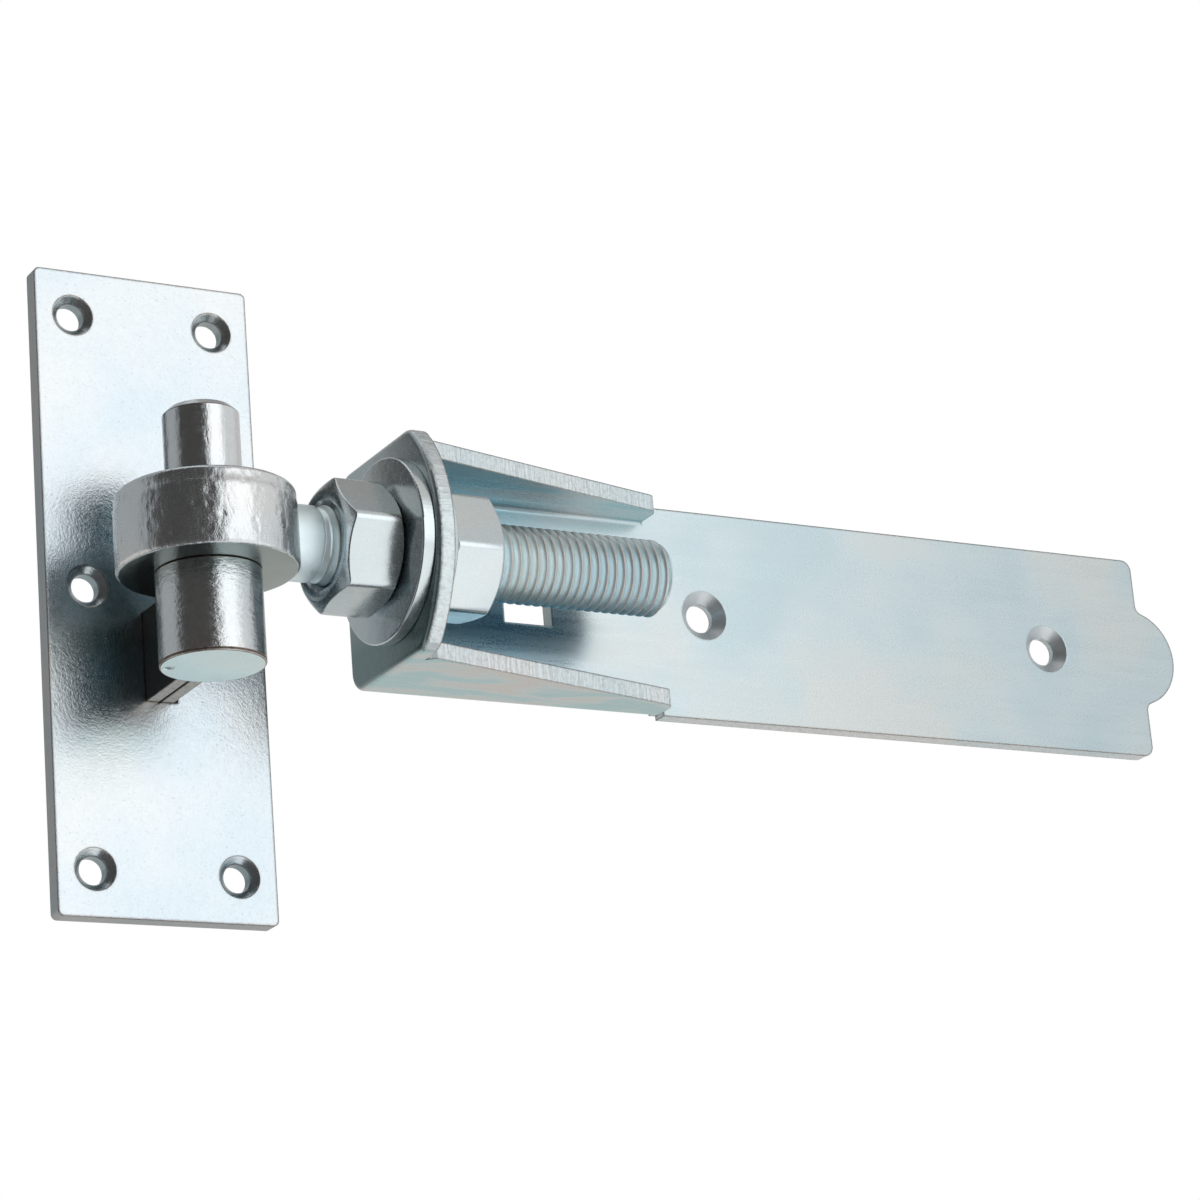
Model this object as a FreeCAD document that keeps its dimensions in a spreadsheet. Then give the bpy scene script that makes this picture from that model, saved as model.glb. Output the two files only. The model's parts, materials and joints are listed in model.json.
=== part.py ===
import FreeCAD, Part
import math
import os
import re
import Sketcher

# Adjustable gate hinge in zinc-plated steel, in millimetres, +Z up.
# The origin is the centre of the wall plate's back face. +X runs along the strap and +Y points into the wall.
# A flat plate carries an upright pin in a rolled sleeve. An eye bolt hangs on the pin. Its threaded shank
# passes through the end wall of a folded strap and holds it between two nuts and two washers.

os.makedirs("parts", exist_ok=True)
doc = FreeCAD.newDocument("GateHinge")

# Driving dimensions: every size that can be set by itself is one named cell of the sheet
SIZES = {
    # Wall plate, with four corner holes and two in the middle
    "plate_width": 58.0,
    "plate_height": 168.0,
    "plate_thickness": 5.0,
    "plate_corner": 1.5,
    "plate_hole": 7.2,
    "plate_sink": 10.8,
    "screw_side_margin": 10.0,
    "screw_end_margin": 12.0,
    "middle_screw_margin": 11.0,
    # Hook pin, and the sleeve rolled round it from a flat strip whose two ends pass through the plate
    "pin_standoff": 32.0,
    "pin_diameter": 19.0,
    "pin_rise": 42.0,
    "pin_chamfer": 1.6,
    "shoulder_drop": 5.4,
    "sleeve_length": 23.7,
    "sleeve_gauge": 3.5,
    "sleeve_bend": 1.5,
    "leg_gap": 0.4,
    "slot_play": 0.9,
    "weld_cap": 0.6,
    # Eye bolt, forged in one piece: ring, neck and threaded shank
    "eye_diameter": 45.0,
    "eye_height": 19.4,
    "eye_low_round": 2.0,
    "eye_high_round": 1.6,
    "bolt_diameter": 20.0,
    "neck_diameter": 19.2,
    "neck_length": 5.5,
    "bolt_reach": 126.5,
    "bolt_chamfer": 1.8,
    # Nuts and washers
    "nut_across": 30.0,
    "nut_height": 16.0,
    "nut_bevel": 1.3,
    "nut_mouth": 1.0,
    "front_nut_turn": 50.4,
    "rear_nut_turn": 8.7,
    "front_nut_reach": 30.7,
    "washer_play": 1.5,
    "front_washer_diameter": 47.0,
    "front_washer_thickness": 3.5,
    "front_washer_round": 0.5,
    "rear_washer_side_gap": 3.0,
    "rear_washer_band_gap": 1.5,
    "rear_washer_thickness": 3.2,
    "rear_washer_round": 1.4,
    # Strap, folded from one sheet: band, two tapered flanges and end wall
    "strap_gauge": 4.5,
    "strap_width": 58.0,
    "strap_setback": 23.0,
    "strap_reach": 298.3,
    "strap_corner": 3.0,
    "fold_inside": 1.0,
    "wall_hole_play": 2.0,
    "wall_bulge": 25.0,
    "wall_edge_radius": 39.0,
    "wall_corner": 7.0,
    "wall_round": 1.5,
    "flange_depth": 30.0,
    "flange_end_depth": 8.7,
    "flange_reach": 137.0,
    "flange_round": 3.0,
    "seam_notch": 2.5,
    "relief_width": 2.0,
    "relief_depth": 1.2,
    "tip_length": 11.2,
    "tip_radius": 13.9,
    "tip_fillet": 2.5,
    "strap_hole": 8.0,
    "strap_sink": 13.4,
    "first_hole_reach": 154.2,
    "last_hole_margin": 32.8,
    "coach_square": 14.0,
    "coach_reach": 100.6,
    # Fits between the pieces
    "running_clearance": 0.08,
    "sleeve_clearance": 0.03,
    "face_gap": 0.3,
}
SINK_ANGLE = 90.0  # degrees, the full angle of a countersunk screw's head

sheet = doc.addObject("Spreadsheet::Sheet", "Sizes")
for row, (alias, number) in enumerate(SIZES.items(), start=1):
    sheet.set(f"A{row}", alias)
    sheet.set(f"B{row}", str(number))
    sheet.setAlias(f"B{row}", alias)
doc.recompute()


def linked(expression):
    """The expression with each of the sheet's names written as a link to its cell."""
    return re.sub(r"[a-z]+(?:_[a-z]+)+", lambda word: "Sizes." + word.group(), expression)


def value(expression):
    """The number that an expression in the sheet's names gives now."""
    return float(sheet.evalExpression(linked(expression)))


def new_body(label, x="0", y="0", z="0", turn_about_x="0"):
    """A body whose place in the hinge follows the sheet."""
    body = doc.addObject("PartDesign::Body", label)
    body.Label = label
    body.Placement = FreeCAD.Placement(FreeCAD.Vector(), FreeCAD.Rotation(FreeCAD.Vector(1, 0, 0), 0))
    body.setExpression("Placement.Base.x", linked(x))
    body.setExpression("Placement.Base.y", linked(y))
    body.setExpression("Placement.Base.z", linked(z))
    body.setExpression("Placement.Rotation.Angle", linked(turn_about_x))
    return body


def new_sketch(body, name, plane, offset="0"):
    """An empty sketch on one of the body's own origin planes, moved along its normal by offset."""
    sketch = body.newObject("Sketcher::SketchObject", name)
    support = next(o for o in body.Origin.OriginFeatures if o.Role == plane)
    sketch.AttachmentSupport = [(support, "")]
    sketch.MapMode = "FlatFace"
    sketch.setExpression("AttachmentOffset.Base.z", linked(offset))
    return sketch


def bind(sketch, kind, geometry, point, expression):
    """Tie one coordinate of a point to an expression, measured from the sketch's origin."""
    constraint = Sketcher.Constraint(kind, -1, 1, geometry, point, value(expression))
    index = sketch.addConstraint(constraint)
    sketch.setExpression(f"Constraints[{index}]", linked(expression))


def draw_circle(sketch, x, y, diameter):
    """A circle with its centre and diameter tied to the sheet."""
    centre = FreeCAD.Vector(value(x), value(y), 0)
    index = sketch.addGeometry(Part.Circle(centre, FreeCAD.Vector(0, 0, 1), value(diameter) / 2))
    bind(sketch, "DistanceX", index, 3, x)
    bind(sketch, "DistanceY", index, 3, y)
    size = sketch.addConstraint(Sketcher.Constraint("Diameter", index, value(diameter)))
    sketch.setExpression(f"Constraints[{size}]", linked(diameter))


def arc_between(start, end, radius, turn):
    """The shorter arc from start to end, bending left for turn 1 and right for turn -1."""
    chord = end - start
    left = FreeCAD.Vector(-chord.y, chord.x, 0).normalize()
    rise = math.sqrt(max(radius**2 - (chord.Length / 2) ** 2, 0.0))
    centre = (start + end) * 0.5 + left * (turn * rise)
    first, last = (start, end) if turn > 0 else (end, start)
    angles = [math.atan2(p.y - centre.y, p.x - centre.x) for p in (first, last)]
    circle = Part.Circle(centre, FreeCAD.Vector(0, 0, 1), radius)
    return Part.ArcOfCircle(circle, angles[0], angles[1])


def draw_loop(sketch, steps):
    """A closed outline. A step is a point (x, y), or (x, y, radius, turn) where an arc leads to the next."""
    corners = [FreeCAD.Vector(value(step[0]), value(step[1]), 0) for step in steps]
    ends = []
    for step, start, end in zip(steps, corners, corners[1:] + corners[:1]):
        if len(step) == 2:
            index = sketch.addGeometry(Part.LineSegment(start, end))
            ends.append((index, 1, 2))
            continue
        radius, turn = step[2], step[3]
        index = sketch.addGeometry(arc_between(start, end, value(radius), turn))
        ends.append((index, 1, 2) if turn > 0 else (index, 2, 1))
    for (index, _, last), (following, first, _) in zip(ends, ends[1:] + ends[:1]):
        sketch.addConstraint(Sketcher.Constraint("Coincident", index, last, following, first))
    for step, (index, first, _) in zip(steps, ends):
        bind(sketch, "DistanceX", index, first, step[0])
        bind(sketch, "DistanceY", index, first, step[1])
        if len(step) == 4:
            size = sketch.addConstraint(Sketcher.Constraint("Radius", index, value(step[2])))
            sketch.setExpression(f"Constraints[{size}]", linked(step[2]))


def add_feature(body, kind, name, sketch, **lengths):
    """A PartDesign feature on a sketch, with its lengths tied to the sheet."""
    feature = body.newObject(f"PartDesign::{kind}", name)
    feature.Profile = sketch
    for prop, expression in lengths.items():
        feature.setExpression(prop, linked(expression))
    return feature


def revolve(body, kind, name, sketch, axis):
    """A full turn of a sketch about its own horizontal or vertical axis."""
    feature = body.newObject(f"PartDesign::{kind}", name)
    feature.Profile = sketch
    feature.ReferenceAxis = (sketch, [axis])
    feature.Angle = 360
    return feature


def sunk_holes(body, name, sketch, diameter, sink):
    """Countersunk through holes at the sketch's circles, drilled against the sketch's normal."""
    doc.recompute()
    before = body.Shape.Volume
    hole = body.newObject("PartDesign::Hole", name)
    hole.Profile = sketch
    hole.ThreadType = "None"
    hole.DepthType = "ThroughAll"
    hole.HoleCutType = "Countersink"
    hole.HoleCutCountersinkAngle = SINK_ANGLE
    hole.setExpression("Diameter", linked(diameter))
    hole.setExpression("HoleCutDiameter", linked(sink))
    doc.recompute()
    assert body.Shape.Volume < before, f"{name} cuts nothing"
    return hole


# Places that several pieces share
PIN_Y = "-(plate_thickness + pin_standoff)"
BOLT_Z = "-shoulder_drop + face_gap + eye_height / 2"
SLEEVE_BORE = "(pin_diameter / 2 + sleeve_clearance)"
SLEEVE_OUTSIDE = f"({SLEEVE_BORE} + sleeve_gauge)"
LEG_OUTSIDE = "(leg_gap / 2 + sleeve_gauge)"
STRAP_BACK = "(strap_setback + strap_gauge)"
FRONT_WASHER_X = "(front_nut_reach + nut_height + face_gap)"
WALL_X = f"({FRONT_WASHER_X} + front_washer_thickness)"
REAR_WASHER_X = f"({WALL_X} + strap_gauge)"
# The rear washer is as wide as the channel lets it be, between the flanges and in front of the band
REAR_WASHER_WIDTH = (
    "min(strap_width - 2 * (strap_gauge + rear_washer_side_gap); 2 * (strap_setback - rear_washer_band_gap))"
)


def make_wall_plate():
    """The flat plate, with a slot for the sleeve's two ends and six countersunk holes."""
    body = new_body("wall_plate")
    sketch = new_sketch(body, "PlateOutline", "XZ_Plane")
    x, z, r = "plate_width / 2", "plate_height / 2", "plate_corner"
    draw_loop(sketch, [
        (f"-({x})", f"-({z}) + {r}", r, 1), (f"-({x}) + {r}", f"-({z})"),
        (f"{x} - {r}", f"-({z})", r, 1), (x, f"-({z}) + {r}"),
        (x, f"{z} - {r}", r, 1), (f"{x} - {r}", z),
        (f"-({x}) + {r}", z, r, 1), (f"-({x})", f"{z} - {r}"),
    ])
    left, right = f"-{LEG_OUTSIDE}", f"{LEG_OUTSIDE} + slot_play"
    low, high = "-shoulder_drop - sleeve_length + weld_cap", "-shoulder_drop"
    draw_loop(sketch, [(left, low), (right, low), (right, high), (left, high)])
    add_feature(body, "Pad", "PlatePad", sketch, Length="plate_thickness")
    holes = new_sketch(body, "PlateHoles", "XZ_Plane", "plate_thickness")
    for side in ("-", ""):
        draw_circle(holes, f"{side}({x} - middle_screw_margin)", "0", "plate_hole")
        for up in ("-", ""):
            corner_x, corner_z = f"{side}({x} - screw_side_margin)", f"{up}({z} - screw_end_margin)"
            draw_circle(holes, corner_x, corner_z, "plate_hole")
    sunk_holes(body, "PlateScrewHoles", holes, "plate_hole", "plate_sink")
    return body


def make_hook_pin():
    """The round pin that the eye turns on. Weld closes its foot flush with the sleeve."""
    body = new_body("hook_pin", y=PIN_Y, z="-shoulder_drop")
    sketch = new_sketch(body, "PinProfile", "XZ_Plane")
    r = "pin_diameter / 2"
    cap = "-sleeve_length + weld_cap"
    draw_loop(sketch, [
        ("0", "-sleeve_length"), (f"{SLEEVE_OUTSIDE} - weld_cap / 2", "-sleeve_length"),
        (SLEEVE_OUTSIDE, "-sleeve_length + weld_cap / 2"), (SLEEVE_OUTSIDE, cap),
        (r, cap), (r, "pin_rise - pin_chamfer"), (f"{r} - pin_chamfer", "pin_rise"), ("0", "pin_rise"),
    ])
    revolve(body, "Revolution", "PinRevolution", sketch, "V_Axis")
    return body


def make_pin_sleeve():
    """The flat strip bent round the pin, its two ends side by side through the wall plate."""
    body = new_body("pin_sleeve", y=PIN_Y, z="-shoulder_drop")
    sketch = new_sketch(body, "StripOutline", "XY_Plane", "-sleeve_length + weld_cap")
    inside, outside = SLEEVE_BORE, SLEEVE_OUTSIDE
    bend_x = f"({LEG_OUTSIDE} + sleeve_bend)"
    reach = f"({outside} + sleeve_bend)"
    bend_y = f"sqrt({reach} ^ 2 - {bend_x} ^ 2)"
    outer_bend, inner_bend = "sleeve_bend", "sleeve_bend + sleeve_gauge"
    end = "pin_standoff + plate_thickness"
    foot_x, foot_y = f"{bend_x} * {outside} / {reach}", f"{bend_y} * {outside} / {reach}"
    bore_x, bore_y = f"{bend_x} * {inside} / {reach}", f"{bend_y} * {inside} / {reach}"
    draw_loop(sketch, [
        (LEG_OUTSIDE, end), (LEG_OUTSIDE, bend_y, outer_bend, 1),
        (foot_x, foot_y, outside, -1), ("0", f"-{outside}", outside, -1),
        (f"-{foot_x}", foot_y, outer_bend, 1), (f"-{LEG_OUTSIDE}", bend_y),
        (f"-{LEG_OUTSIDE}", end), ("-leg_gap / 2", end),
        ("-leg_gap / 2", bend_y, inner_bend, -1), (f"-{bore_x}", bore_y, inside, 1),
        ("0", f"-{inside}", inside, 1), (bore_x, bore_y, inner_bend, -1),
        ("leg_gap / 2", bend_y), ("leg_gap / 2", end),
    ])
    add_feature(body, "Pad", "StripPad", sketch, Length="sleeve_length - weld_cap")
    return body


def make_eye_bolt():
    """The eye bolt: a ring with rounded rims, a plain neck and the shank."""
    body = new_body("eye_bolt", y=PIN_Y, z=BOLT_Z)
    ring = new_sketch(body, "RingProfile", "XZ_Plane")
    bore, rim, half = "pin_diameter / 2 + running_clearance", "eye_diameter / 2", "eye_height / 2"
    draw_loop(ring, [
        (bore, f"-{half}"), (f"{rim} - eye_low_round", f"-{half}", "eye_low_round", 1),
        (rim, f"-{half} + eye_low_round"), (rim, f"{half} - eye_high_round", "eye_high_round", 1),
        (f"{rim} - eye_high_round", half), (bore, half),
    ])
    revolve(body, "Revolution", "RingRevolution", ring, "V_Axis")
    shank = new_sketch(body, "ShankProfile", "XZ_Plane")
    root, thread, neck = f"({bore} + {rim}) / 2", "bolt_diameter / 2", "neck_diameter / 2"
    neck_end = "eye_diameter / 2 + neck_length"
    draw_loop(shank, [
        (root, "0"), ("bolt_reach", "0"), ("bolt_reach", f"{thread} - bolt_chamfer"),
        ("bolt_reach - bolt_chamfer", thread), (neck_end, thread),
        (f"{neck_end} - ({thread} - {neck})", neck), (root, neck),
    ])
    revolve(body, "Revolution", "ShankRevolution", shank, "H_Axis")
    return body


def make_nut(label, x, turned):
    """A hexagon nut, bevelled and countersunk on both faces."""
    body = new_body(label, x=x, y=PIN_Y, z=BOLT_Z, turn_about_x=turned)
    outline = new_sketch(body, "Hexagon", "YZ_Plane")
    corner, half = "nut_across / sqrt(3)", "nut_across / 2"
    draw_loop(outline, [
        (corner, "0"), (f"{corner} / 2", half), (f"-{corner} / 2", half),
        (f"-{corner}", "0"), (f"-{corner} / 2", f"-{half}"), (f"{corner} / 2", f"-{half}"),
    ])
    add_feature(body, "Pad", "HexagonPad", outline, Length="nut_height")
    turning = new_sketch(body, "TurnedAway", "XZ_Plane")
    bore = "bolt_diameter / 2 + running_clearance"
    draw_loop(turning, [
        ("0", "0"), ("nut_height", "0"), ("nut_height", f"{bore} + nut_mouth"),
        ("nut_height - nut_mouth", bore), ("nut_mouth", bore), ("0", f"{bore} + nut_mouth"),
    ])
    clear = f"2 * ({corner}) - {half}"
    depth = "2 * nut_bevel"
    draw_loop(turning, [("0", half), (depth, clear), ("0", clear)])
    draw_loop(turning, [("nut_height", half), ("nut_height", clear), (f"nut_height - {depth}", clear)])
    revolve(body, "Groove", "BoreAndBevels", turning, "H_Axis")
    return body


def make_washer(label, x, diameter, thickness, rounding):
    """A round washer with rounded rims."""
    body = new_body(label, x=x, y=PIN_Y, z=BOLT_Z)
    sketch = new_sketch(body, "WasherProfile", "XZ_Plane")
    hole, rim = "(bolt_diameter + washer_play) / 2", f"{diameter} / 2"
    draw_loop(sketch, [
        ("0", hole), (thickness, hole), (thickness, f"{rim} - {rounding}", rounding, 1),
        (f"{thickness} - {rounding}", rim), (rounding, rim, rounding, 1), ("0", f"{rim} - {rounding}"),
    ])
    revolve(body, "Revolution", "WasherRevolution", sketch, "H_Axis")
    return body


def draw_channel(sketch):
    """The channel's cross section: the band between two flanges, with both folds."""
    front = "strap_setback - flange_depth"
    half, fold = "strap_width / 2", "(fold_inside + strap_gauge)"
    back = STRAP_BACK
    inner_back, inner = "strap_setback", "(strap_width / 2 - strap_gauge)"
    draw_loop(sketch, [
        (front, half), (f"{back} - {fold}", half, fold, -1), (back, f"{half} - {fold}"),
        (back, f"-({half} - {fold})", fold, -1), (f"{back} - {fold}", f"-{half}"), (front, f"-{half}"),
        (front, f"-{inner}"), (f"{inner_back} - fold_inside", f"-{inner}", "fold_inside", 1),
        (inner_back, f"-{inner} + fold_inside"), (inner_back, f"{inner} - fold_inside", "fold_inside", 1),
        (f"{inner_back} - fold_inside", inner), (front, inner),
    ])


def draw_end_wall(sketch):
    """The end wall: folded back edge, straight sides, and a front edge that bulges round the bolt."""
    half, fold, back = "strap_width / 2", "(fold_inside + strap_gauge)", STRAP_BACK
    middle = "(wall_edge_radius - wall_bulge)"
    span = "(wall_edge_radius - wall_corner)"
    rise = f"({half} - wall_corner)"
    run = f"sqrt({span} ^ 2 - {rise} ^ 2)"
    side_y = f"{middle} - {run}"
    edge_y, edge_z = f"{middle} - {run} * wall_edge_radius / {span}", f"{rise} * wall_edge_radius / {span}"
    draw_loop(sketch, [
        (side_y, half, "wall_corner", 1), (edge_y, edge_z, "wall_edge_radius", 1),
        (edge_y, f"-{edge_z}", "wall_corner", 1), (side_y, f"-{half}"),
        (f"{back} - {fold}", f"-{half}", fold, 1), (back, f"-({half} - {fold})"),
        (back, f"{half} - {fold}", fold, 1), (f"{back} - {fold}", half),
    ])
    draw_circle(sketch, "0", "0", "bolt_diameter + wall_hole_play")


def draw_flange_taper(sketch):
    """What is sheared off the flanges: their slope, rounded end and the notch beside the end wall."""
    left, top = REAR_WASHER_X, "(strap_setback - flange_depth)"
    run, fall = f"(flange_reach - {left})", "(flange_depth - flange_end_depth)"
    slope = f"sqrt({run} ^ 2 + {fall} ^ 2)"
    cut = f"(flange_round * ({slope} - {fall}) / {run})"
    end = "(strap_setback - flange_end_depth)"
    clear = f"{top} - strap_gauge"
    draw_loop(sketch, [
        (left, clear), (left, f"{top} + seam_notch"),
        (f"{left} + seam_notch", f"{top} + seam_notch * {fall} / {run}"),
        (f"flange_reach - {cut} * {run} / {slope}", f"{end} - {cut} * {fall} / {slope}", "flange_round", 1),
        ("flange_reach", f"{end} + {cut}"), ("flange_reach + strap_gauge", f"{end} + {cut}"),
        ("flange_reach + strap_gauge", clear),
    ])


def draw_band(sketch):
    """The flat band beyond the flanges: fold reliefs, square end and the rounded tip."""
    half, end = "strap_width / 2", "strap_reach"
    relief = "flange_reach + relief_width"
    root = "(tip_radius - tip_length)"
    reach = "(tip_radius + tip_fillet)"
    joint_z = f"sqrt({reach} ^ 2 - ({root} + tip_fillet) ^ 2)"
    tip_x = f"{end} - {root} + ({root} + tip_fillet) * tip_radius / {reach}"
    tip_z = f"{joint_z} * tip_radius / {reach}"
    draw_loop(sketch, [
        ("flange_reach", f"{half} - relief_depth"), (relief, f"{half} - relief_depth"), (relief, half),
        (f"{end} - strap_corner", half, "strap_corner", -1), (end, f"{half} - strap_corner"),
        (end, joint_z, "tip_fillet", 1), (tip_x, tip_z, "tip_radius", -1),
        (tip_x, f"-{tip_z}", "tip_fillet", 1), (end, f"-{joint_z}"),
        (end, f"-{half} + strap_corner", "strap_corner", -1), (f"{end} - strap_corner", f"-{half}"),
        (relief, f"-{half}"), (relief, f"-{half} + relief_depth"), ("flange_reach", f"-{half} + relief_depth"),
    ])


def make_strap():
    """The strap, folded from one sheet, with its origin where the bolt crosses the pin."""
    body = new_body("strap", y=PIN_Y, z=BOLT_Z)
    channel = new_sketch(body, "ChannelSection", "YZ_Plane", WALL_X)
    draw_channel(channel)
    add_feature(body, "Pad", "Channel", channel, Length=f"flange_reach - {WALL_X}")
    taper = new_sketch(body, "FlangeTaper", "XY_Plane")
    draw_flange_taper(taper)
    doc.recompute()
    before = body.Shape.Volume
    cut = add_feature(body, "Pocket", "TaperPocket", taper)
    cut.Type = "ThroughAll"
    cut.Midplane = True
    doc.recompute()
    assert body.Shape.Volume < before, "the flanges are not tapered"
    wall = new_sketch(body, "EndWallOutline", "YZ_Plane", WALL_X)
    draw_end_wall(wall)
    add_feature(body, "Pad", "EndWall", wall, Length="strap_gauge")
    band = new_sketch(body, "BandOutline", "XZ_Plane", f"-{STRAP_BACK}")
    draw_band(band)
    add_feature(body, "Pad", "Band", band, Length="strap_gauge")
    square = new_sketch(body, "CoachBoltSquare", "XZ_Plane", "-strap_setback")
    left, right, up = "coach_reach - coach_square / 2", "coach_reach + coach_square / 2", "coach_square / 2"
    draw_loop(square, [(left, f"-{up}"), (right, f"-{up}"), (right, up), (left, up)])
    doc.recompute()
    before = body.Shape.Volume
    add_feature(body, "Pocket", "CoachBoltHole", square, Length="strap_gauge")
    doc.recompute()
    assert body.Shape.Volume < before, "the square hole cuts nothing"
    holes = new_sketch(body, "StrapHoles", "XZ_Plane", "-strap_setback")
    for reach in ("first_hole_reach", "strap_reach - last_hole_margin"):
        draw_circle(holes, reach, "0", "strap_hole")
    drilled = sunk_holes(body, "StrapScrewHoles", holes, "strap_hole", "strap_sink")
    # The outer face of the end wall has a rolled edge all the way round
    face_x = value(WALL_X)
    hole_radius = value("bolt_diameter + wall_hole_play") / 2
    edges = []
    for number, edge in enumerate(drilled.Shape.Edges, start=1):
        on_face = abs(edge.BoundBox.XMin - face_x) < 0.001 and abs(edge.BoundBox.XMax - face_x) < 0.001
        round_hole = edge.Closed and abs(edge.BoundBox.ZMax - hole_radius) < 0.001
        if on_face and not round_hole:
            edges.append(f"Edge{number}")
    rolled = body.newObject("PartDesign::Fillet", "RolledEdge")
    rolled.Base = (drilled, edges)
    rolled.setExpression("Radius", linked("wall_round"))
    return body


pieces = [
    make_wall_plate(),
    make_hook_pin(),
    make_pin_sleeve(),
    make_eye_bolt(),
    make_nut("front_nut", "front_nut_reach", "front_nut_turn"),
    make_washer("front_washer", FRONT_WASHER_X, "front_washer_diameter", "front_washer_thickness",
                "front_washer_round"),
    make_strap(),
    make_washer("rear_washer", REAR_WASHER_X, REAR_WASHER_WIDTH, "rear_washer_thickness",
                "rear_washer_round"),
    make_nut("rear_nut", f"{REAR_WASHER_X} + rear_washer_thickness + face_gap", "rear_nut_turn"),
]
doc.recompute()

# Nothing is written unless every object and every piece is sound
for item in doc.Objects:
    assert not {"Invalid", "Error"} & set(item.State), f"{item.Label} failed: {item.State}"
for piece in pieces:
    assert not piece.Shape.isNull() and piece.Shape.isValid(), f"{piece.Label} has no valid shape"
    assert len(piece.Shape.Solids) == 1, f"{piece.Label} is not one solid"
for piece in pieces:
    piece.Shape.exportStep(f"parts/{piece.Label}.step")
    box = piece.Shape.BoundBox
    print(piece.Label, [round(n, 2) for n in (box.XMin, box.XMax, box.YMin, box.YMax, box.ZMin, box.ZMax)])
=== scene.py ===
# %% [markdown]
# # An adjustable gate hinge in bright zinc
# A gate hangs on this hinge. A wall plate carries an upright pin, an eye bolt swings on the pin, and two nuts
# clamp a long folded strap on the bolt's thread. The solids come from the CAD model, so each piece is already
# in its place and at its size. This lesson gives them what CAD leaves out: rounded edges, real threads,
# zinc finishes, and the light and camera of a studio.

# %% Load the frame
import json
import math

import bmesh
import bpy
from mathutils import Matrix, Vector, noise

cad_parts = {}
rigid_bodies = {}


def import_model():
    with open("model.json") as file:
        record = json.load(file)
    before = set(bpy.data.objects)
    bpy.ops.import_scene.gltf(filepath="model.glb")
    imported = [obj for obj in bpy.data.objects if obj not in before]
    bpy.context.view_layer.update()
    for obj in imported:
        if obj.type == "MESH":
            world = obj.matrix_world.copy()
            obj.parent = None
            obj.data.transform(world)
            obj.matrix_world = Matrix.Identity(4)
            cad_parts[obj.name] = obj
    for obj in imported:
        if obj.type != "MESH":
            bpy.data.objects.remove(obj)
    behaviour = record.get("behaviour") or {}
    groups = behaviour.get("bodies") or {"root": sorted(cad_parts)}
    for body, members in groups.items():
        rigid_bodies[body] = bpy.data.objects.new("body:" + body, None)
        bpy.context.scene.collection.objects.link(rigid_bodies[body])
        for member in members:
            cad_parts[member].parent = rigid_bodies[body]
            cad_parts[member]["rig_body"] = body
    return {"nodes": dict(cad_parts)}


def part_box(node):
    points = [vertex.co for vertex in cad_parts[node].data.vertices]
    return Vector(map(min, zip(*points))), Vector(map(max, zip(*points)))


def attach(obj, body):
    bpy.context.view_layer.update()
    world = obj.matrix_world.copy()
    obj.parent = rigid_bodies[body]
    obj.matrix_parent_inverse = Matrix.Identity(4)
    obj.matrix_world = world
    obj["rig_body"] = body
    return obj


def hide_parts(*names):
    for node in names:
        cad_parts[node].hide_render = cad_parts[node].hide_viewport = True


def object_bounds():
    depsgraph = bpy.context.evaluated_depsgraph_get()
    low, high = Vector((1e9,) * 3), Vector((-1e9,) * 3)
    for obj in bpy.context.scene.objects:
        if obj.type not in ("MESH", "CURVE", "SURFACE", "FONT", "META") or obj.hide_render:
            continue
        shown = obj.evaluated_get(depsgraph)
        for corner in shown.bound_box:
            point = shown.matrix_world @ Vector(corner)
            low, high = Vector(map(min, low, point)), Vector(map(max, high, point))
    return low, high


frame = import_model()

cad_box = [list(corner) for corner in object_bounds()]
print("CAD box in metres:", cad_box)

# %% [markdown]
# ## Where things are
# The real sizes are thought of in millimetres, and Blender works in metres, so one value turns one to the
# other. Two lines rule the hinge: the pin's upright axis, and the bolt's axis, which crosses it. They and the
# faces that pieces share are read from the boxes of the CAD nodes, so that a change in the CAD moves
# everything here with it.

# %% Axes and shared faces
MM = 0.001


def middle(node):
    """The centre of a CAD node's box."""
    low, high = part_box(node)
    return (low + high) / 2


PIN_Y = middle("hook_pin").y
BOLT_Z = middle("front_washer").z
WALL_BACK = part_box("rear_washer")[0].x / MM
print(f"pin axis at y {PIN_Y / MM:.2f} mm, bolt axis at z {BOLT_Z / MM:.2f} mm")
print(f"back of the strap's wall at x {WALL_BACK:.2f} mm")


# %% [markdown]
# ## Colour and nodes
# A colour picked from a photograph is written as sRGB hex. Shaders work with linear light, so one function
# turns the first into the second. A second function adds any node with its settings and its links, which
# keeps each material short enough to read from top to bottom.

# %% Colour and node helpers
def linear(hex_colour):
    """An sRGB hex colour as linear RGBA."""
    parts = [int(hex_colour[i:i + 2], 16) / 255 for i in (1, 3, 5)]
    return [p / 12.92 if p <= 0.04045 else ((p + 0.055) / 1.055) ** 2.4 for p in parts] + [1.0]


def add_node(tree, kind, inputs=None, **settings):
    """Adds a node. inputs maps a socket's name or number to a value or to another node's output."""
    node = tree.nodes.new("ShaderNode" + kind)
    for name, setting in settings.items():
        setattr(node, name, setting)
    for socket, given in (inputs or {}).items():
        if isinstance(given, bpy.types.NodeSocket):
            tree.links.new(given, node.inputs[socket])
        else:
            node.inputs[socket].default_value = given
    return node


def per_mm(size):
    """The scale of a pattern whose marks are this many millimetres apart."""
    return 1 / (size * MM)


# %% [markdown]
# ## The passivate's colours
# Bright zinc plating is dipped in a clear blue passivate. The film that it leaves is far thinner than a hair,
# so it shows soft clouds of blue, straw and pink, as oil does on water. A noise a few centimetres wide picks
# one of three hues. The middle hue is the colour that the eye reads from a step away.

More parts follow.
